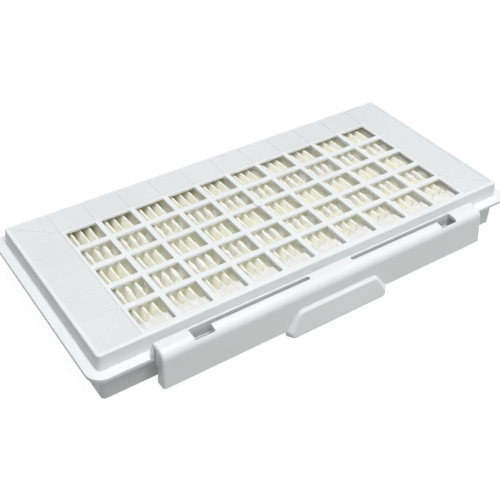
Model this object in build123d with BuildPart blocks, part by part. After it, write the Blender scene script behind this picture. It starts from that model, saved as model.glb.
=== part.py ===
"""HEPA filter cassette: a moulded housing with a grille, a pleated media pack, spacers and sealant.

X runs along the long side, the handle strip is on the -Y side, and Z points up. The cassette
stands on the lower edge of its tub at Z = 0, and the origin is the middle of its footprint.
"""

import os
from math import asin, atan, cos, degrees, hypot, radians, sin, tan

from build123d import *

os.makedirs("parts", exist_ok=True)

# Housing box, measured over the outside of its walls where they meet the flange
box_length = 186.0
box_depth = 82.6
upper_height = 6.5
tub_depth = 12.5
wall = 1.5
corner_radius = 2.0
cavity_corner_radius = 0.5
upper_draft = 4.0
tub_draft = 1.4
top_edge_radius = 0.6

# Flange all round the box
flange_overhang = 4.0
flange_thickness = 1.5
flange_edge_radius = 0.3

# Grille
grille_thickness = 0.9
columns = 10
rows = 5
column_pitch = 15.0
row_pitch = 12.7
column_bar = 2.26
row_bar = 2.61
front_row_extra = 2.4
front_margin = 3.2
window_corner_radius = 0.4

# Raised rim, band round the windows, panel ribs and gate pad on the top face
relief = 0.15
rim_width = 1.7
band_width = 1.3
panel_rib_width = 0.5
gate_pad_diameter = 4.8
gate_pad_height = 0.4
gate_pad_bar = 2

# Handle strip along the front: a leg on the flange edge, a web and an apron
strip_length = 147.6
strip_drop = 1.0
strip_bottom = 4.3
strip_reach = 6.6
leg_thickness = 1.2
web_thickness = 1.5
apron_thickness = 1.6
apron_draft = 4.4
apron_end_flare = 0.9
leg_end_flare = 1.6
strip_edge_radius = 3.6
end_wall_thickness = 1.5
end_wall_depth = 4.3
end_wall_leg_gap = 0.7
end_wall_step_drop = 2.5
strip_end_radius = 1.0

# Two mirrored slots in the web of the strip, each with a wide notch at its outer end
slot_land = 0.8
slot_width = 1.7
slot_inner_end = 9.75
notch_start = 52.7
notch_end = 60.7
notch_width = 4.9

# Pull tab at the middle of the apron
tab_top_width = 36.0
tab_root_width = 48.0
tab_bottom_width = 47.0
tab_root_below_web = 7.4
tab_step = 1.3
tab_projection = 2.5
tab_bottom = 1.1
tab_root_depth = 0.3
tab_top_corner_radius = 3.0
tab_bottom_corner_radius = 2.0
tab_edge_radius = 0.8

# Pleated media pack
pleat_pitch = 3.75
media_thickness = 0.5
fold_radius = 0.45
pack_clearance = 1.2
pack_recess = 1.0
long_side_sealant = 4.5
least_short_side_sealant = 3.0
sealant_drop = 0.6

# Spacer beads between the pleats, in lines under these rows of windows counted from the back
bead_depth = 3.5
bead_width = 2.2
bead_shift = 1.0
bead_rows = (2, 4)

# Main levels
flange_top = tub_depth + flange_thickness
overall_height = flange_top + upper_height
grille_underside = overall_height - grille_thickness
web_top = overall_height - strip_drop
web_underside = web_top - web_thickness

# Main planes across the depth, with the whole cassette centred on Y = 0
front_reach = flange_overhang + strip_reach + tab_projection
overall_depth = front_reach + box_depth + flange_overhang
box_front = -overall_depth / 2 + front_reach
box_y = box_front + box_depth / 2
flange_front = box_front - flange_overhang
leg_inner = flange_front + leg_thickness
apron_bottom_y = flange_front - strip_reach
tab_front = apron_bottom_y - tab_projection

# Window sizes and places
window_width = column_pitch - column_bar
window_depth = row_pitch - row_bar
front_window_depth = window_depth + front_row_extra
array_front = box_front + front_margin
array_back = array_front + front_window_depth + (rows - 1) * row_pitch
array_length = columns * column_pitch - column_bar
array_depth = array_back - array_front
array_y = (array_front + array_back) / 2

# Cavity inside the walls
inner_length = box_length - 2 * wall
inner_depth = box_depth - 2 * wall

# Pleated pack: an odd number of ridges, as many as leave room for the sealant at both ends
side_ridges = int((inner_length / 2 - least_short_side_sealant) / pleat_pitch - 0.5)
ridge_count = 2 * side_ridges + 1
pack_length = ridge_count * pleat_pitch
pack_depth = inner_depth - 2 * long_side_sealant
pack_top = grille_underside - pack_clearance
pack_bottom = pack_recess
fold_outer = fold_radius + media_thickness / 2
fold_inner = fold_radius - media_thickness / 2
ridge_centre_z = pack_top - fold_outer
valley_centre_z = pack_bottom + fold_outer
fold_rise = ridge_centre_z - valley_centre_z
fold_lean = atan(pleat_pitch / 2 / fold_rise)
flank_lean = fold_lean - asin(2 * fold_radius / hypot(pleat_pitch / 2, fold_rise))


def window_back(row):
    """Y of the back edge of a row of windows, with row 1 at the back."""
    return array_back - (row - 1) * row_pitch


def apron_face(height):
    """Y of the apron's outer face at a height, leaning back towards the web."""
    return apron_bottom_y + (height - strip_bottom) * tan(radians(apron_draft))


# Handle strip, started as its web and apron in one section
with BuildPart() as strip:
    with BuildSketch(Plane.YZ) as strip_section:
        with BuildLine():
            Polyline(
                (leg_inner, web_top),
                (apron_face(web_top), web_top),
                (apron_bottom_y, strip_bottom),
                (apron_bottom_y + apron_thickness, strip_bottom),
                (apron_face(web_underside) + apron_thickness, web_underside),
                (leg_inner, web_underside),
                close=True,
            )
        make_face()
        top_corners = strip_section.vertices().group_by(Axis.Y)[-1]
        fillet(top_corners.sort_by(Axis.X)[0], strip_edge_radius)
        inner_corners = strip_section.vertices().filter_by(lambda v: abs(v.Y - web_underside) < 0.01)
        fillet(inner_corners.sort_by(Axis.X)[0], strip_edge_radius - apron_thickness)
    extrude(amount=strip_length / 2 + apron_end_flare, both=True)

    # End walls of the channel, cut back below the flange to leave room behind them
    end_wall_step = flange_top - end_wall_step_drop
    for side in (-1, 1):
        with BuildSketch(Plane.YZ.offset(side * (strip_length / 2 - end_wall_thickness))):
            with BuildLine():
                Polyline(
                    (flange_front - end_wall_leg_gap, web_underside),
                    (apron_face(web_underside) + apron_thickness / 2, web_underside),
                    (apron_bottom_y + apron_thickness / 2, strip_bottom),
                    (apron_bottom_y + end_wall_depth, strip_bottom),
                    (apron_bottom_y + end_wall_depth, end_wall_step),
                    (flange_front - end_wall_leg_gap, end_wall_step),
                    close=True,
                )
            make_face()
        extrude(amount=side * (end_wall_thickness + apron_end_flare))

    # Slanted ends, wider at the apron's lower edge
    with BuildSketch(Plane.XZ):
        with BuildLine():
            Polyline(
                (-strip_length / 2, web_top),
                (strip_length / 2, web_top),
                (strip_length / 2 + apron_end_flare, strip_bottom),
                (-strip_length / 2 - apron_end_flare, strip_bottom),
                close=True,
            )
        make_face()
    extrude(amount=overall_depth, both=True, mode=Mode.INTERSECT)
    for end_face in strip.faces().sort_by(Axis.X)[:1] + strip.faces().sort_by(Axis.X)[-1:]:
        outer_edges = end_face.edges().filter_by(
            lambda e: abs(e.center().Y - apron_face(e.center().Z)) < 0.01
        )
        fillet(outer_edges, strip_end_radius)

    # Leg standing on the flange edge
    with BuildSketch(Plane.XZ.offset(-leg_inner)):
        with BuildLine():
            Polyline(
                (-strip_length / 2, web_top),
                (strip_length / 2, web_top),
                (strip_length / 2 + leg_end_flare, flange_top),
                (-strip_length / 2 - leg_end_flare, flange_top),
                close=True,
            )
        make_face()
    extrude(amount=leg_thickness)

    # Slots and notches through the web, down to the flange
    slot_y = leg_inner - slot_land - slot_width / 2
    notch_y = leg_inner - slot_land - notch_width / 2
    slot_start = slot_inner_end + slot_width / 2
    for side in (-1, 1):
        with BuildSketch(Plane.XY.offset(web_top)):
            with Locations((side * slot_start, slot_y)):
                Circle(slot_width / 2)
            with Locations((side * (slot_start + notch_end) / 2, slot_y)):
                Rectangle(notch_end - slot_start, slot_width)
            with Locations((side * (notch_start + notch_end) / 2, notch_y)):
                Rectangle(notch_end - notch_start, notch_width)
        extrude(amount=flange_top - web_top, mode=Mode.SUBTRACT)

# Pull tab, lofted from its root in the apron to its smaller face
tab_root_top = web_top - tab_root_below_web
tab_face_top = tab_root_top - tab_step
tab_face_top_y = apron_face(tab_root_top) - tab_step
tab_face_lean = atan((tab_face_top_y - tab_front) / (tab_face_top - tab_bottom))
tab_face_share = (strip_bottom - tab_bottom) / (tab_face_top - tab_bottom)
tab_face_width = tab_bottom_width + (tab_top_width - tab_bottom_width) * tab_face_share
root_lean = radians(apron_draft)
root_plane = Plane(
    origin=(0, apron_bottom_y + tab_root_depth, strip_bottom),
    x_dir=(1, 0, 0),
    z_dir=(0, -cos(root_lean), sin(root_lean)),
)
face_plane = Plane(
    origin=(0, tab_front, tab_bottom),
    x_dir=(1, 0, 0),
    z_dir=(0, -cos(tab_face_lean), sin(tab_face_lean)),
)
with BuildPart() as tab:
    for plane, lean, foot, top, middle_width in (
        (root_plane, root_lean, strip_bottom, tab_root_top, tab_root_width),
        (face_plane, tab_face_lean, tab_bottom, tab_face_top, tab_face_width),
    ):
        with BuildSketch(plane) as tab_outline:
            with BuildLine():
                Polyline(
                    (-tab_top_width / 2, (top - foot) / cos(lean)),
                    (-middle_width / 2, (strip_bottom - foot) / cos(lean)),
                    (-tab_bottom_width / 2, (tab_bottom - foot) / cos(lean)),
                    (tab_bottom_width / 2, (tab_bottom - foot) / cos(lean)),
                    (middle_width / 2, (strip_bottom - foot) / cos(lean)),
                    (tab_top_width / 2, (top - foot) / cos(lean)),
                    close=True,
                )
            make_face()
            fillet(tab_outline.vertices().group_by(Axis.Y)[-1], tab_top_corner_radius)
            fillet(tab_outline.vertices().group_by(Axis.Y)[0], tab_bottom_corner_radius)
    loft(ruled=True)
    face_edges = tab.faces().sort_by(Axis.Y)[0].edges()
    fillet(face_edges, tab_edge_radius)

# Housing, one moulding with the flange, the upper box, the tub, the grille and the strip
with BuildPart() as housing:
    with BuildSketch(Plane.XY.offset(tub_depth)):
        with Locations((0, box_y)):
            RectangleRounded(
                box_length + 2 * flange_overhang,
                box_depth + 2 * flange_overhang,
                corner_radius + flange_overhang,
            )
    extrude(amount=flange_thickness)
    fillet(housing.edges().group_by(Axis.Z)[-1], flange_edge_radius)

    # Upper box
    with BuildSketch(Plane.XY.offset(flange_top)):
        with Locations((0, box_y)):
            RectangleRounded(box_length, box_depth, corner_radius)
    extrude(amount=upper_height, taper=upper_draft)
    fillet(housing.edges().group_by(Axis.Z)[-1], top_edge_radius)

    # Tub, widening upwards to the flange
    tub_inset = tub_depth * tan(radians(tub_draft))
    with BuildSketch():
        with Locations((0, box_y)):
            RectangleRounded(
                box_length - 2 * tub_inset,
                box_depth - 2 * tub_inset,
                corner_radius - tub_inset,
            )
    extrude(amount=tub_depth, taper=-tub_draft)

    # Handle strip and pull tab
    add(strip.part)
    add(tab.part)

    # Cavity, open at the bottom
    with BuildSketch():
        with Locations((0, box_y)):
            RectangleRounded(inner_length, inner_depth, cavity_corner_radius)
    extrude(amount=grille_underside, mode=Mode.SUBTRACT)

    # Windows, the front row deeper than the others
    with BuildSketch(Plane.XY.offset(grille_underside)):
        for row in range(1, rows + 1):
            depth = front_window_depth if row == rows else window_depth
            with Locations((0, window_back(row) - depth / 2)):
                with GridLocations(column_pitch, 1, columns, 1):
                    RectangleRounded(window_width, depth, window_corner_radius)
    extrude(amount=grille_thickness, mode=Mode.SUBTRACT)

    # Recessed panels between the rim and the band round the windows
    top_inset = upper_height * tan(radians(upper_draft))
    panel_right = box_length / 2 - top_inset - rim_width
    panel_front = box_front + top_inset + rim_width
    panel_back = box_front + box_depth - top_inset - rim_width
    band_right = array_length / 2 + band_width
    band_back = array_back + band_width
    with BuildSketch(Plane.XY.offset(overall_height)):
        with Locations((0, (panel_front + panel_back) / 2)):
            Rectangle(2 * panel_right, panel_back - panel_front)
        with Locations((0, array_y)):
            Rectangle(2 * band_right, array_depth + 2 * band_width, mode=Mode.SUBTRACT)

        # Ribs behind the column bars
        with Locations((0, (band_back + panel_back) / 2)):
            with GridLocations(column_pitch, 1, columns + 1, 1):
                Rectangle(panel_rib_width, panel_back - band_back, mode=Mode.SUBTRACT)

        # Ribs beside the row bars, and one more beside the back of the band
        for row in range(rows):
            rib_y = window_back(row) - window_depth
            for side in (-1, 1):
                with Locations((side * (band_right + panel_right) / 2, rib_y)):
                    Rectangle(panel_right - band_right, panel_rib_width, mode=Mode.SUBTRACT)

        # Mitre ribs in the corners
        front_mitre_y = window_back(rows - 1) - window_depth
        mitre_run = panel_right - band_right
        for corner_y, mitre_y in ((panel_front, front_mitre_y), (panel_back, band_back)):
            mitre_angle = degrees(atan((corner_y - mitre_y) / mitre_run))
            for side in (-1, 1):
                middle = (side * (panel_right + band_right) / 2, (corner_y + mitre_y) / 2)
                with Locations(Location(middle, side * mitre_angle)):
                    Rectangle(
                        hypot(mitre_run, corner_y - mitre_y),
                        panel_rib_width,
                        mode=Mode.SUBTRACT,
                    )
    extrude(amount=-relief, mode=Mode.SUBTRACT)

    # Gate pad on a row bar
    with BuildSketch(Plane.XY.offset(overall_height)):
        with Locations((0, window_back(gate_pad_bar) - window_depth - row_bar / 2)):
            Circle(gate_pad_diameter / 2)
    extrude(amount=gate_pad_height)

# Pleated media, one sheet folded along the short side of the cassette
with BuildPart() as pleated_media:
    lean = degrees(flank_lean)
    with BuildSketch(Plane.XZ.offset(-box_y - pack_depth / 2)):
        with BuildLine():
            for ridge_radius, valley_radius in ((fold_outer, fold_inner), (fold_inner, fold_outer)):
                for ridge in range(ridge_count):
                    x = (ridge - side_ridges) * pleat_pitch
                    ridge_x = ridge_radius * cos(flank_lean)
                    ridge_z = ridge_centre_z + ridge_radius * sin(flank_lean)
                    valley_x = pleat_pitch / 2 - valley_radius * cos(flank_lean)
                    valley_z = valley_centre_z - valley_radius * sin(flank_lean)
                    Line((x - valley_x, valley_z), (x - ridge_x, ridge_z))
                    CenterArc((x, ridge_centre_z), ridge_radius, lean, 180 - 2 * lean)
                    Line((x + ridge_x, ridge_z), (x + valley_x, valley_z))
                    if ridge < ridge_count - 1:
                        valley_centre = (x + pleat_pitch / 2, valley_centre_z)
                        CenterArc(valley_centre, valley_radius, 180 + lean, 180 - 2 * lean)
                CenterArc((-pack_length / 2, valley_centre_z), valley_radius, 270, 90 - lean)
                CenterArc((pack_length / 2, valley_centre_z), valley_radius, 180 + lean, 90 - lean)
            for end in (-pack_length / 2, pack_length / 2):
                Line((end, pack_bottom), (end, pack_bottom + media_thickness))
        make_face()
    extrude(amount=pack_depth)

# Spacer beads on the grille side, wedges that fill the mouths of the pleats
bead_top_z = ridge_centre_z + fold_outer * sin(flank_lean)
bead_half_width = pleat_pitch / 2 - fold_outer * cos(flank_lean)
bead_half_foot = bead_half_width - bead_depth * tan(flank_lean)
with BuildPart() as upper_spacer_beads:
    for row in bead_rows:
        bead_y = window_back(row) - window_depth / 2 + bead_shift
        with BuildSketch(Plane.XZ.offset(-bead_y)):
            with GridLocations(pleat_pitch, 1, ridge_count - 1, 1):
                Polygon(
                    (-bead_half_width, bead_top_z),
                    (-bead_half_foot, bead_top_z - bead_depth),
                    (bead_half_foot, bead_top_z - bead_depth),
                    (bead_half_width, bead_top_z),
                    align=None,
                )
        extrude(amount=bead_width / 2, both=True)

# Spacer beads on the open side
bead_bottom_z = valley_centre_z - fold_outer * sin(flank_lean)
with BuildPart() as lower_spacer_beads:
    for row in bead_rows:
        bead_y = window_back(row) - window_depth / 2 + bead_shift
        with BuildSketch(Plane.XZ.offset(-bead_y)):
            with GridLocations(pleat_pitch, 1, ridge_count, 1):
                Polygon(
                    (-bead_half_width, bead_bottom_z),
                    (bead_half_width, bead_bottom_z),
                    (bead_half_foot, bead_bottom_z + bead_depth),
                    (-bead_half_foot, bead_bottom_z + bead_depth),
                    align=None,
                )
        extrude(amount=bead_width / 2, both=True)

# Edge sealant, a ring between the cavity wall and the pack
with BuildPart() as edge_sealant:
    with BuildSketch(Plane.XY.offset(pack_bottom)):
        with Locations((0, box_y)):
            RectangleRounded(inner_length, inner_depth, cavity_corner_radius)
            Rectangle(pack_length, pack_depth, mode=Mode.SUBTRACT)
    extrude(amount=pack_top - sealant_drop - pack_bottom)

housing.part.label = "housing"
export_step(housing.part, "parts/housing.step")
pleated_media.part.label = "pleated_media"
export_step(pleated_media.part, "parts/pleated_media.step")
upper_spacer_beads.part.label = "upper_spacer_beads"
export_step(upper_spacer_beads.part, "parts/upper_spacer_beads.step")
lower_spacer_beads.part.label = "lower_spacer_beads"
export_step(lower_spacer_beads.part, "parts/lower_spacer_beads.step")
edge_sealant.part.label = "edge_sealant"
export_step(edge_sealant.part, "parts/edge_sealant.step")
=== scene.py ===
"""Dresses the filter cassette: materials, pleated paper, glue, floor, light and camera."""

import math
import random

import bpy
from mathutils import Euler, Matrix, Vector, noise


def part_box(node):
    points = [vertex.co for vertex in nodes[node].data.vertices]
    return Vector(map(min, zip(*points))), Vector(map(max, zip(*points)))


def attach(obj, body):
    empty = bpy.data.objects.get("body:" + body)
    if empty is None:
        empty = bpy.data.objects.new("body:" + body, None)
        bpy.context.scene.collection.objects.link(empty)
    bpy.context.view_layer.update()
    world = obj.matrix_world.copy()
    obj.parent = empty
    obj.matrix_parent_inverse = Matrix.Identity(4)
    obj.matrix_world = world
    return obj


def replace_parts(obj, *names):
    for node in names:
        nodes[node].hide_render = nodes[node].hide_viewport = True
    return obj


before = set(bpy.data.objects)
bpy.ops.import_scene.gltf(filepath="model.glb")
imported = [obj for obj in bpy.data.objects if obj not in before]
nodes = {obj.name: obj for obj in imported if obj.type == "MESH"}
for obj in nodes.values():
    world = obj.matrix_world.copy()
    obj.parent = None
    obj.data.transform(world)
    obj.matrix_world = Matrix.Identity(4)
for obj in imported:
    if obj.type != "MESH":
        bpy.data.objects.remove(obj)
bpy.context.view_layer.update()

# Pleated pack, in metres: pitch and count as in the solids, with sharper folds
RIDGES = 47
PACK_LOW, PACK_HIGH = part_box("pleated_media")
PITCH = (PACK_HIGH.x - PACK_LOW.x) / RIDGES
FOLD_OUTER = 0.00048
FOLD_INNER = 0.00012
FLANK_BELLY = 0.00042
BELLY_DEPTH_SHARE = 0.22
FLANK_STEPS = 8
FLANK_STEP_EASE = 0.8
ARC_STEPS = 8
STATIONS = 27
RIDGE_CENTRE = PACK_HIGH.z - FOLD_OUTER
VALLEY_CENTRE = PACK_LOW.z + FOLD_OUTER

# How far the paper's normals are raised towards the side that each face looks out of
NAP_LIFT = 0.60

# Share of the light that the paper lets through
PAPER_GLOW = 0.08

# Waves of the folds, which are free between the bead lines and held at them and at the pack's ends
WAVE_ACROSS = 0.00042
WAVE_ACROSS_RATE = (260.0, 70.0, 60.0)
WAVE_ACROSS_PHASE = 3.7
WAVE_DOWN = 0.00035
WAVE_DOWN_PER_FOLD = 1.7
WAVE_DOWN_RATE = 55.0
WAVE_DOWN_PHASE = 9.1
WAVE_DOWN_FROM = 0.014
WAVE_DOWN_SPAN = 0.0045
HELD_SPAN = 0.012
LEAST_FREEDOM = 0.12
PACK_END_MARGIN = 0.000625
PACK_END = PACK_HIGH.x - PACK_END_MARGIN
PACK_END_FADE = 0.004

# Hot melt: two lines across the folds, as in the solids, and the knuckles set a little behind them
BEAD_LINES = (0.0130, -0.0124)
KNUCKLE_SHIFT = 0.0016
KNUCKLE_STRAY = 0.0006
KNUCKLE_STRETCH = (0.75, 1.12)
KNUCKLE_SWELL = (0.88, 1.10)
KNUCKLE_DROP = (0.0, 0.00012)
KNUCKLE_SKEW = (-0.0005, 0.0005)
KNUCKLE_WIDEST = 0.00187
KNUCKLE_SQUARENESS = 0.15
KNUCKLE_SIDES = 20
LUMP_SIZE = 0.11
LUMP_RATE_ACROSS = 900
LUMP_RATE_ALONG = 1.4
LUMP_RATE_DOWN = 420

# One knuckle from its top down: depth below the crest, half width across the fold, half length along it
KNUCKLE = (
    (-0.00014, 0.00018, 0.00060),
    (-0.00010, 0.00045, 0.00160),
    (0.00008, 0.00072, 0.00240),
    (0.00045, 0.00095, 0.00290),
    (0.00110, 0.00112, 0.00310),
    (0.00220, 0.00130, 0.00300),
    (0.00330, 0.00152, 0.00260),
    (0.00420, 0.00180, 0.00200),
    (0.00480, 0.00186, 0.00110),
)

# Potting film over the front ends of the folds
SEALANT_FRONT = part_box("edge_sealant")[0].y
FILM_WALL_GAP = 0.0001
FILM_REACH = 0.01005
FILM_FRONT = SEALANT_FRONT + FILM_WALL_GAP
FILM_BACK = SEALANT_FRONT + FILM_REACH
FILM_ROWS = 26
FILM_COLUMNS_PER_PITCH = 16
FILM_DROP = 0.00012
FILM_SKIN = 0.00008
FILM_SKIN_SPAN = 0.001
EDGE_WANDER = 0.0009
EDGE_WANDER_RATE = 120.0
EDGE_WANDER_PHASE = (4.0, 1.0)
EDGE_SCALLOP = 0.0007
EDGE_DIVE = 0.0045
EDGE_DIVE_SPAN = 0.0011
EDGE_DIVE_POWER = 2.2
EDGE_SLOPE = 0.0007
EDGE_SLOPE_SPAN = 0.0045
VALLEY_SAG = 0.00045
VALLEY_SAG_POWER = 1.5
FILM_RIPPLE = 0.00014
FILM_RIPPLE_RATE = 420.0
FILM_RIPPLE_PHASE = 7.0

# Housing levels: the top of the rim and band, below the gate pad, and the recessed panel just under it,
# which gets painted shade
GATE_PAD_HEIGHT = 0.0004
GRILLE_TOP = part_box("housing")[1].z - GATE_PAD_HEIGHT
PANEL_FROM, PANEL_FULL_FROM = GRILLE_TOP - 0.00022, GRILLE_TOP - 0.00020
PANEL_FULL_TO, PANEL_TO = GRILLE_TOP - 0.00010, GRILLE_TOP - 0.00006

# Colours, in pairs where a pattern runs between two
HOUSING_COLOUR = (0.865, 0.88, 0.88, 1)
# The panel colours are darker than the housing colour: painted shade for the recessed panels
PANEL_PAINTED_SHADE_COLOURS = (0.765, 0.785, 0.785, 1), (0.785, 0.805, 0.80, 1)
FLANK_COLOURS = (0.98, 0.97, 0.83, 1), (0.985, 0.98, 0.87, 1)
FIBRE_COLOURS = (0.97, 0.96, 0.82, 1), (0.985, 0.98, 0.885, 1)
# Paler than the flank colours: a painted highlight for the tops of the folds
CREST_PAINTED_HIGHLIGHT_COLOUR = (0.97, 0.965, 0.90, 1)
HOT_MELT_COLOUR = (0.945, 0.94, 0.895, 1)
POTTING_COLOUR = (0.89, 0.885, 0.855, 1)
FLOOR_COLOURS = (0.20, 0.20, 0.20, 1), (0.22, 0.22, 0.22, 1)
SKY_COLOUR = (0.97, 0.985, 1.0, 1)
WHITE = (1, 1, 1, 1)

# The stretch of a noise pattern over which one colour or gloss turns into the other
PATCH_RANGE = 0.3, 0.7

# Studio: floor, light levels and camera, with the lens and its sensor in millimetres
FLOOR_REACH = 3.0
FLOOR_LIFT = 0.93
SKY_STRENGTH = 0.26
LAMP_AIM = Vector((0, 0, 0.01))
CAMERA_PLACE = (-0.16019, -0.22121, 0.22252)
CAMERA_TURN = (50.770, -0.809, -33.875)
CAMERA_LENS = 61.04
SENSOR_WIDTH = 36.0
CLIP_RANGE = 0.01, 10.0
BOUNCES = 32
SOFT_BOUNCES = 20


# Node helpers


class Shader:
    """Builds the node tree of a material or of the world with few words."""

    def __init__(self, owner):
        owner.use_nodes = True
        self.tree = owner.node_tree
        self.tree.nodes.clear()

    def feed(self, socket, value):
        """Links another node's output to a socket, or sets the socket to a plain value."""
        if hasattr(value, "is_output"):
            self.tree.links.new(value, socket)
        else:
            socket.default_value = value

    def add(self, kind, **inputs):
        node = self.tree.nodes.new(kind)
        for name, value in inputs.items():
            self.feed(node.inputs[name.replace("_", " ")], value)
        return node

    def noise(self, vector, scale, detail=3.0, roughness=0.5):
        node = self.add("ShaderNodeTexNoise", Vector=vector, Scale=scale, Detail=detail, Roughness=roughness)
        return node.outputs["Fac"]

    def ramp(self, value, low, high, to_low=0.0, to_high=1.0):
        node = self.add(
            "ShaderNodeMapRange", Value=value, From_Min=low, From_Max=high, To_Min=to_low, To_Max=to_high
        )
        node.interpolation_type = "SMOOTHSTEP"
        return node.outputs["Result"]

    def mix(self, factor, a, b):
        node = self.tree.nodes.new("ShaderNodeMix")
        node.data_type = "RGBA"
        self.feed(node.inputs[0], factor)
        self.feed(node.inputs[6], a)
        self.feed(node.inputs[7], b)
        return node.outputs[2]

    def math(self, operation, a, b):
        node = self.tree.nodes.new("ShaderNodeMath")
        node.operation = operation
        self.feed(node.inputs[0], a)
        self.feed(node.inputs[1], b)
        return node.outputs[0]

    def vector_math(self, operation, *values):
        node = self.tree.nodes.new("ShaderNodeVectorMath")
        node.operation = operation
        for socket, value in zip(node.inputs, values):
            self.feed(socket, value)
        return node.outputs[0]

    def bump(self, height, strength, distance, **normal):
        """A bump on the plain normal, or on the one given as Normal."""
        node = self.add("ShaderNodeBump", Height=height, Strength=strength, Distance=distance, **normal)
        return node.outputs["Normal"]

    def mix_shaders(self, factor, a, b):
        node = self.tree.nodes.new("ShaderNodeMixShader")
        self.feed(node.inputs[0], factor)
        self.feed(node.inputs[1], a.outputs[0])
        self.feed(node.inputs[2], b.outputs[0])
        return node

    def finish(self, surface, output="ShaderNodeOutputMaterial"):
        self.add(output, Surface=surface.outputs[0])

    def position(self):
        return self.add("ShaderNodeNewGeometry").outputs["Position"]

    def height(self, vector):
        return self.add("ShaderNodeSeparateXYZ", Vector=vector).outputs["Z"]


def shaded(colour, share):
    """A colour made darker to a share of itself."""
    return tuple(part * share for part in colour[:3]) + (1.0,)


# Materials


def plastic(name, colour, roughness, grain):
    """Moulded plastic: a faint flow mottle in colour and gloss, a fine grain, softened edges and painted
    shade on the recessed panels.
    """
    material = bpy.data.materials.new(name)
    shader = Shader(material)
    place = shader.position()
    mottle = shader.noise(place, scale=38.0, detail=4.0)
    speck = shader.noise(place, scale=900.0, detail=2.0)
    patches = shader.ramp(mottle, *PATCH_RANGE)
    base = shader.mix(patches, shaded(colour, share=0.975), colour)
    # Painted shade: surfaces at the recessed panel's level get the darker panel colours, so the rim and ribs
    # stand out as lighter lines
    level = shader.height(place)
    below_panel = shader.ramp(level, PANEL_FULL_FROM, PANEL_FROM)
    below_rim = shader.ramp(level, PANEL_FULL_TO, PANEL_TO, to_low=1.0, to_high=0.0)
    painted_panel_shade = shader.math("MULTIPLY", below_rim, shader.math("SUBTRACT", 1.0, below_panel))
    base = shader.mix(painted_panel_shade, base, shader.mix(patches, *PANEL_PAINTED_SHADE_COLOURS))
    round_edge = shader.add("ShaderNodeBevel", Radius=0.00025)
    round_edge.samples = 4
    rounded = round_edge.outputs["Normal"]
    pores = shader.noise(place, scale=2600.0, detail=2.0)
    fine = shader.bump(pores, strength=grain, distance=0.00004, Normal=rounded)
    soft = shader.bump(mottle, strength=0.12, distance=0.0006, Normal=fine)
    sheen = shader.ramp(mottle, 0.25, 0.75, to_low=roughness - 0.05, to_high=roughness + 0.05)
    gloss = shader.math("ADD", sheen, shader.math("MULTIPLY", speck, 0.04))
    surface = shader.add(
        "ShaderNodeBsdfPrincipled",
        Base_Color=base,
        Roughness=gloss,
        IOR=1.49,
        Normal=soft,
        Specular_IOR_Level=0.45,
    )
    shader.finish(surface)
    return material


def paper(name):
    """Filter paper: felted fibres in a cream colour, with a painted highlight that turns the tops of the
    folds paler.
    """
    material = bpy.data.materials.new(name)
    shader = Shader(material)
    place = shader.position()
    stretched = shader.add("ShaderNodeMapping", Vector=place, Scale=(1.0, 0.35, 1.0)).outputs[0]
    felt = shader.noise(stretched, scale=1400.0, detail=5.0, roughness=0.65)
    cloud = shader.noise(place, scale=160.0)
    flank_colour = shader.mix(shader.ramp(cloud, *PATCH_RANGE), *FLANK_COLOURS)
    fibre_colour = shader.mix(shader.ramp(felt, 0.35, 0.7), *FIBRE_COLOURS)
    body = shader.mix(0.45, flank_colour, fibre_colour)
    # Painted highlight: towards the top of the folds the colour turns into the paler crest colour
    crest = shader.ramp(shader.height(place), PACK_HIGH.z - 0.0014, PACK_HIGH.z - 0.0001)
    colour = shader.mix(crest, body, CREST_PAINTED_HIGHLIGHT_COLOUR)
    nap = shader.add("ShaderNodeAttribute")
    nap.attribute_name = "nap"
    plain = shader.add("ShaderNodeNewGeometry").outputs["Normal"]
    raised = shader.vector_math("ADD", plain, nap.outputs["Vector"])
    turned = shader.vector_math("NORMALIZE", raised)
    rough = shader.bump(felt, strength=0.35, distance=0.00012, Normal=turned)
    wavy = shader.bump(cloud, strength=0.25, distance=0.0004, Normal=rough)
    face = shader.add(
        "ShaderNodeBsdfPrincipled", Base_Color=colour, Roughness=0.85, Normal=wavy, Specular_IOR_Level=0.2
    )
    glow = shader.add("ShaderNodeBsdfTranslucent", Color=colour, Normal=wavy)
    shader.finish(shader.mix_shaders(PAPER_GLOW, face, glow))
    return material


def glue(name, colour, roughness, lump_scale):
    """Set glue: smooth lumps, small pits and an uneven sheen."""
    material = bpy.data.materials.new(name)
    shader = Shader(material)
    place = shader.position()
    lumps = shader.noise(place, scale=lump_scale)
    pits = shader.add("ShaderNodeTexVoronoi", Vector=place, Scale=lump_scale * 3.0)
    base = shader.mix(shader.ramp(lumps, *PATCH_RANGE), shaded(colour, share=0.92), colour)
    lumpy = shader.bump(lumps, strength=0.5, distance=0.0004)
    pit_depth = shader.ramp(pits.outputs["Distance"], 0.0, 0.25)
    pitted = shader.bump(pit_depth, strength=0.15, distance=0.0002, Normal=lumpy)
    gloss = shader.ramp(lumps, *PATCH_RANGE, to_low=roughness, to_high=roughness + 0.15)
    shader.finish(
        shader.add("ShaderNodeBsdfPrincipled", Base_Color=base, Roughness=gloss, IOR=1.5, Normal=pitted)
    )
    return material


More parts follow.
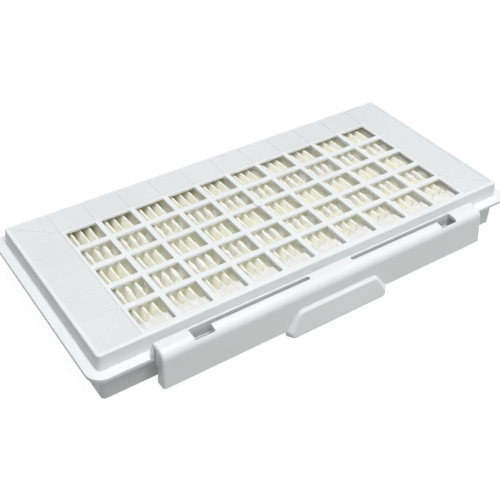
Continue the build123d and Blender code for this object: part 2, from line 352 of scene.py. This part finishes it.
def floor_material():
    """White to the camera with the object's shadow kept, pale to every other ray."""
    material = bpy.data.materials.new("studio_floor")
    shader = Shader(material)
    path = shader.add("ShaderNodeLightPath").outputs
    seen = shader.math("MAXIMUM", path["Is Camera Ray"], path["Is Glossy Ray"])
    seen = shader.math("MAXIMUM", seen, path["Is Transmission Ray"])
    pale = shader.mix(shader.noise(shader.position(), scale=60.0), *FLOOR_COLOURS)
    diffuse = shader.add("ShaderNodeBsdfDiffuse", Color=pale)
    lift = shader.add("ShaderNodeEmission", Color=WHITE, Strength=FLOOR_LIFT)
    summed = shader.tree.nodes.new("ShaderNodeAddShader")
    shader.feed(summed.inputs[0], diffuse.outputs[0])
    shader.feed(summed.inputs[1], lift.outputs[0])
    shader.finish(shader.mix_shaders(seen, diffuse, summed))
    return material


def dress(piece, material):
    piece.data.materials.clear()
    piece.data.materials.append(material)


def add_to_scene(name, data):
    piece = bpy.data.objects.new(name, data)
    bpy.context.scene.collection.objects.link(piece)
    return piece


def new_mesh(name, vertices, faces, material, smooth=True):
    mesh = bpy.data.meshes.new(name)
    mesh.from_pydata(vertices, [], faces)
    mesh.update()
    if smooth:
        mesh.shade_smooth()
    mesh.materials.append(material)
    return add_to_scene(name, mesh)


HOUSING = plastic("housing_white", HOUSING_COLOUR, roughness=0.36, grain=0.10)
PAPER = paper("filter_paper")
HOT_MELT = glue("hot_melt", HOT_MELT_COLOUR, roughness=0.42, lump_scale=700.0)
POTTING = glue("potting", POTTING_COLOUR, roughness=0.38, lump_scale=420.0)

dress(nodes["housing"], HOUSING)
dress(nodes["edge_sealant"], POTTING)


# Pleated media


def flank_lean():
    """Angle between a flank and the vertical."""
    rise = RIDGE_CENTRE - VALLEY_CENTRE
    middle = (FOLD_OUTER + FOLD_INNER) / 2
    return math.atan(PITCH / 2 / rise) - math.asin(2 * middle / math.hypot(PITCH / 2, rise))


LEAN = flank_lean()


def belly(share):
    """How far a flank bows away from its fold, at a share of the way up from valley to crest."""
    from_crest = (1 - share) / BELLY_DEPTH_SHARE
    return FLANK_BELLY * from_crest * math.exp(1 - from_crest)


def flank(start, end, outward):
    """Points up one flank, without its ends, bowed outward just below the crest."""
    points = []
    for step in range(1, FLANK_STEPS):
        share = (step / FLANK_STEPS) ** FLANK_STEP_EASE
        x = start[0] + (end[0] - start[0]) * share + outward * belly(share)
        points.append((x, start[1] + (end[1] - start[1]) * share))
    return points


def arc(centre_x, centre_z, radius, start, end, steps):
    """Points of an arc from one angle to another, with both ends."""
    points = []
    for step in range(steps + 1):
        angle = start + (end - start) * step / steps
        points.append((centre_x + radius * math.cos(angle), centre_z + radius * math.sin(angle)))
    return points


def sheet_side(ridge_radius, valley_radius):
    """One side of the folded sheet, as (x, z) from the left end to the right end."""
    straight_down = 1.5 * math.pi
    valley_steps = ARC_STEPS // 2
    points = []
    for index in range(RIDGES):
        x = (index - RIDGES // 2) * PITCH
        left, right = x - PITCH / 2, x + PITCH / 2
        rise = arc(left, VALLEY_CENTRE, valley_radius, straight_down, 2 * math.pi - LEAN, valley_steps)
        crest = arc(x, RIDGE_CENTRE, ridge_radius, math.pi - LEAN, LEAN, ARC_STEPS)
        fall = arc(right, VALLEY_CENTRE, valley_radius, math.pi + LEAN, straight_down, valley_steps)
        points += rise + flank(rise[-1], crest[0], -1)
        points += crest + flank(fall[0], crest[-1], 1)[::-1]
        points += fall[:-1]
    points.append((RIDGES * PITCH / 2, VALLEY_CENTRE - valley_radius))
    return points


def sway(x, y, z):
    """Small sideways and downward waves that real folds have between the bead lines."""
    free = min(abs(y - line) for line in BEAD_LINES) / HELD_SPAN
    free = min(1.0, max(LEAST_FREEDOM, free))
    edge = min(1.0, max(0.0, (PACK_END - abs(x)) / PACK_END_FADE))
    rate_x, rate_y, rate_z = WAVE_ACROSS_RATE
    side = noise.noise(Vector((x * rate_x, y * rate_y, z * rate_z + WAVE_ACROSS_PHASE)))
    fold = round(x / PITCH)
    dip = noise.noise(Vector((fold * WAVE_DOWN_PER_FOLD, y * WAVE_DOWN_RATE, WAVE_DOWN_PHASE)))
    top = max(0.0, (z - WAVE_DOWN_FROM) / WAVE_DOWN_SPAN)
    return x + side * WAVE_ACROSS * free * edge, z - abs(dip) * WAVE_DOWN * top * edge


def pleats():
    """The folded sheet, closed at its ends, with its nap stored on the points."""
    outer = sheet_side(FOLD_OUTER, FOLD_INNER)
    inner = sheet_side(FOLD_INNER, FOLD_OUTER)
    ring = outer + inner[::-1]
    count = len(ring)
    vertices = []
    for station in range(STATIONS):
        y = PACK_LOW.y + (PACK_HIGH.y - PACK_LOW.y) * station / (STATIONS - 1)
        for x, z in ring:
            moved_x, moved_z = sway(x, y, z)
            vertices.append((moved_x, y, moved_z))
    faces = []
    for station in range(STATIONS - 1):
        near = station * count
        far = near + count
        for here in range(count):
            after = (here + 1) % count
            faces.append((near + here, near + after, far + after, far + here))
    half = len(outer)
    last = (STATIONS - 1) * count
    for here in range(half - 1):
        across = count - 1 - here
        faces.append((here, across, across - 1, here + 1))
        faces.append((last + here, last + here + 1, last + across - 1, last + across))
    piece = new_mesh("pleated_paper", vertices, faces, PAPER)
    lift = [(0.0, 0.0, NAP_LIFT)] * half + [(0.0, 0.0, -NAP_LIFT)] * half
    nap = piece.data.attributes.new("nap", "FLOAT_VECTOR", "POINT")
    nap.data.foreach_set("vector", [value for vector in lift * STATIONS for value in vector])
    return piece


media = pleats()
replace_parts(media, "pleated_media")
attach(media, "root")


# Hot melt over the folds


def knuckle_points(x, y, level, up, rng, seed):
    """Rings of points down one knuckle, its place, size and skew drawn at random, its lumps from noise."""
    y += KNUCKLE_SHIFT + rng.uniform(-KNUCKLE_STRAY, KNUCKLE_STRAY)
    stretch = rng.uniform(*KNUCKLE_STRETCH)
    swell = rng.uniform(*KNUCKLE_SWELL)
    drop = rng.uniform(*KNUCKLE_DROP)
    skew = rng.uniform(*KNUCKLE_SKEW)
    points = []
    for depth, half_width, half_length in KNUCKLE:
        width = min(half_width * swell, KNUCKLE_WIDEST)
        for turn in range(KNUCKLE_SIDES):
            angle = 2 * math.pi * turn / KNUCKLE_SIDES
            cosine, sine = math.cos(angle), math.sin(angle)
            place = (x * LUMP_RATE_ACROSS + cosine, sine * LUMP_RATE_ALONG, depth * LUMP_RATE_DOWN + seed)
            lump = 1 + LUMP_SIZE * noise.noise(Vector(place))
            across = cosine * abs(cosine) ** KNUCKLE_SQUARENESS * width * lump
            along = sine * half_length * stretch * lump
            points.append((x + across, y + along + skew * cosine, level - up * (depth + drop)))
    return points


def knuckle_faces(base, up):
    """Faces between the rings of one knuckle, and its two caps."""
    faces = []
    for ring in range(len(KNUCKLE) - 1):
        upper = base + ring * KNUCKLE_SIDES
        lower = upper + KNUCKLE_SIDES
        for turn in range(KNUCKLE_SIDES):
            after = (turn + 1) % KNUCKLE_SIDES
            faces.append((upper + turn, lower + turn, lower + after, upper + after)[::up])
    faces.append(tuple(range(base, base + KNUCKLE_SIDES))[::up])
    last = base + (len(KNUCKLE) - 1) * KNUCKLE_SIDES
    faces.append(tuple(reversed(range(last, last + KNUCKLE_SIDES)))[::up])
    return faces


def knuckles(name, level, up, folds, seed):
    """Hot melt laid across the folds in two lines, as a knuckle over each fold."""
    rng = random.Random(seed)
    vertices = []
    faces = []
    for line in BEAD_LINES:
        for fold in range(folds):
            x = (fold - (folds - 1) / 2) * PITCH
            if abs(x) > PACK_HIGH.x - FOLD_OUTER:
                continue
            faces += knuckle_faces(len(vertices), up)
            vertices += knuckle_points(x, line, level, up, rng, seed)
    piece = new_mesh(name, vertices, faces, HOT_MELT)
    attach(piece, "root")
    return piece


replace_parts(knuckles("upper_knuckles", PACK_HIGH.z, 1, RIDGES, 11), "upper_spacer_beads")
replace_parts(knuckles("lower_knuckles", PACK_LOW.z, -1, RIDGES + 1, 21), "lower_spacer_beads")


# Potting film over the front ends of the folds


def paper_drop(off):
    """How far the paper lies below the crest, at a distance across from the middle of a fold."""
    round_part = FOLD_OUTER * math.cos(LEAN)
    if off < round_part:
        return FOLD_OUTER - math.sqrt(FOLD_OUTER**2 - off**2)
    return FOLD_OUTER * (1 - math.sin(LEAN)) + (off - round_part) / math.tan(LEAN)


def film_drop(x, y, off, from_edge):
    """How far the film lies below the crest: it dives at its back edge and sags between the folds."""
    dive = EDGE_DIVE * max(0.0, 1 - from_edge / EDGE_DIVE_SPAN) ** EDGE_DIVE_POWER
    slope = EDGE_SLOPE * max(0.0, 1 - from_edge / EDGE_SLOPE_SPAN)
    sag = VALLEY_SAG * min(1.0, off / (PITCH / 2)) ** VALLEY_SAG_POWER
    place = Vector((x * FILM_RIPPLE_RATE, y * FILM_RIPPLE_RATE, FILM_RIPPLE_PHASE))
    ripple = FILM_RIPPLE * noise.noise(place)
    drop = FILM_DROP + dive + slope + sag + ripple
    skin = FILM_SKIN * min(1.0, from_edge / FILM_SKIN_SPAN)
    return min(drop, paper_drop(off) - skin)


def film_edge(x, place):
    """Y of the film's back edge, which wanders and reaches further back over each fold."""
    wander = EDGE_WANDER * noise.noise(Vector((x * EDGE_WANDER_RATE, *EDGE_WANDER_PHASE)))
    return FILM_BACK + wander + EDGE_SCALLOP * math.cos(2 * math.pi * place)


def potting_film():
    """The glue that creeps over the ends of the folds behind the front wall, and drowns the valleys."""
    columns = (RIDGES - 1) * FILM_COLUMNS_PER_PITCH
    vertices = []
    for row in range(FILM_ROWS + 1):
        for column in range(columns + 1):
            place = column / FILM_COLUMNS_PER_PITCH
            x = (place - (RIDGES - 1) / 2) * PITCH
            off = abs(place - round(place)) * PITCH
            edge = film_edge(x, place)
            y = edge + (FILM_FRONT - edge) * row / FILM_ROWS
            vertices.append((x, y, PACK_HIGH.z - film_drop(x, y, off, edge - y)))
    faces = []
    width = columns + 1
    for row in range(FILM_ROWS):
        for column in range(columns):
            corner = row * width + column
            faces.append((corner, corner + width, corner + width + 1, corner + 1))
    piece = new_mesh("potting_film", vertices, faces, POTTING)
    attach(piece, "root")


potting_film()


# Floor, sky and lamps


def studio_floor(reach):
    corners = [(-reach, -reach, 0), (reach, -reach, 0), (reach, reach, 0), (-reach, reach, 0)]
    return new_mesh("floor", corners, [(0, 1, 2, 3)], floor_material(), smooth=False)


def studio_sky():
    """A soft cool fill for the object, and plain white behind it for the camera."""
    world = bpy.data.worlds.new("studio")
    shader = Shader(world)
    fill = shader.add("ShaderNodeBackground", Color=SKY_COLOUR, Strength=SKY_STRENGTH)
    white = shader.add("ShaderNodeBackground", Color=WHITE, Strength=1.0)
    to_camera = shader.add("ShaderNodeLightPath").outputs["Is Camera Ray"]
    shader.finish(shader.mix_shaders(to_camera, fill, white), "ShaderNodeOutputWorld")
    return world


def softbox(name, place, width, height, power):
    lamp = bpy.data.lights.new(name, "AREA")
    lamp.shape = "RECTANGLE"
    lamp.size = width
    lamp.size_y = height
    lamp.energy = power
    piece = add_to_scene(name, lamp)
    piece.location = place
    piece.rotation_euler = (LAMP_AIM - Vector(place)).to_track_quat("-Z", "Y").to_euler()


studio_floor(FLOOR_REACH)
bpy.context.scene.world = studio_sky()
softbox("overhead", (0.00, -0.22, 1.12), width=0.25, height=1.0, power=10.8)
softbox("front_low", (-0.15, -1.10, 0.30), width=1.2, height=0.35, power=1.4)
softbox("right_fill", (0.95, -0.45, 0.35), width=0.5, height=0.4, power=1.2)


# Camera

camera_data = bpy.data.cameras.new("camera")
camera_data.sensor_width = SENSOR_WIDTH
camera_data.lens = CAMERA_LENS
camera_data.clip_start, camera_data.clip_end = CLIP_RANGE
camera = add_to_scene("camera", camera_data)
camera.location = CAMERA_PLACE
camera.rotation_euler = Euler([math.radians(angle) for angle in CAMERA_TURN], "XYZ")
bpy.context.scene.camera = camera

bpy.context.scene.view_settings.view_transform = "Standard"

# Enough bounces for light to work its way down between the folds
bpy.context.scene.cycles.max_bounces = BOUNCES
bpy.context.scene.cycles.diffuse_bounces = SOFT_BOUNCES
bpy.context.scene.cycles.transmission_bounces = SOFT_BOUNCES
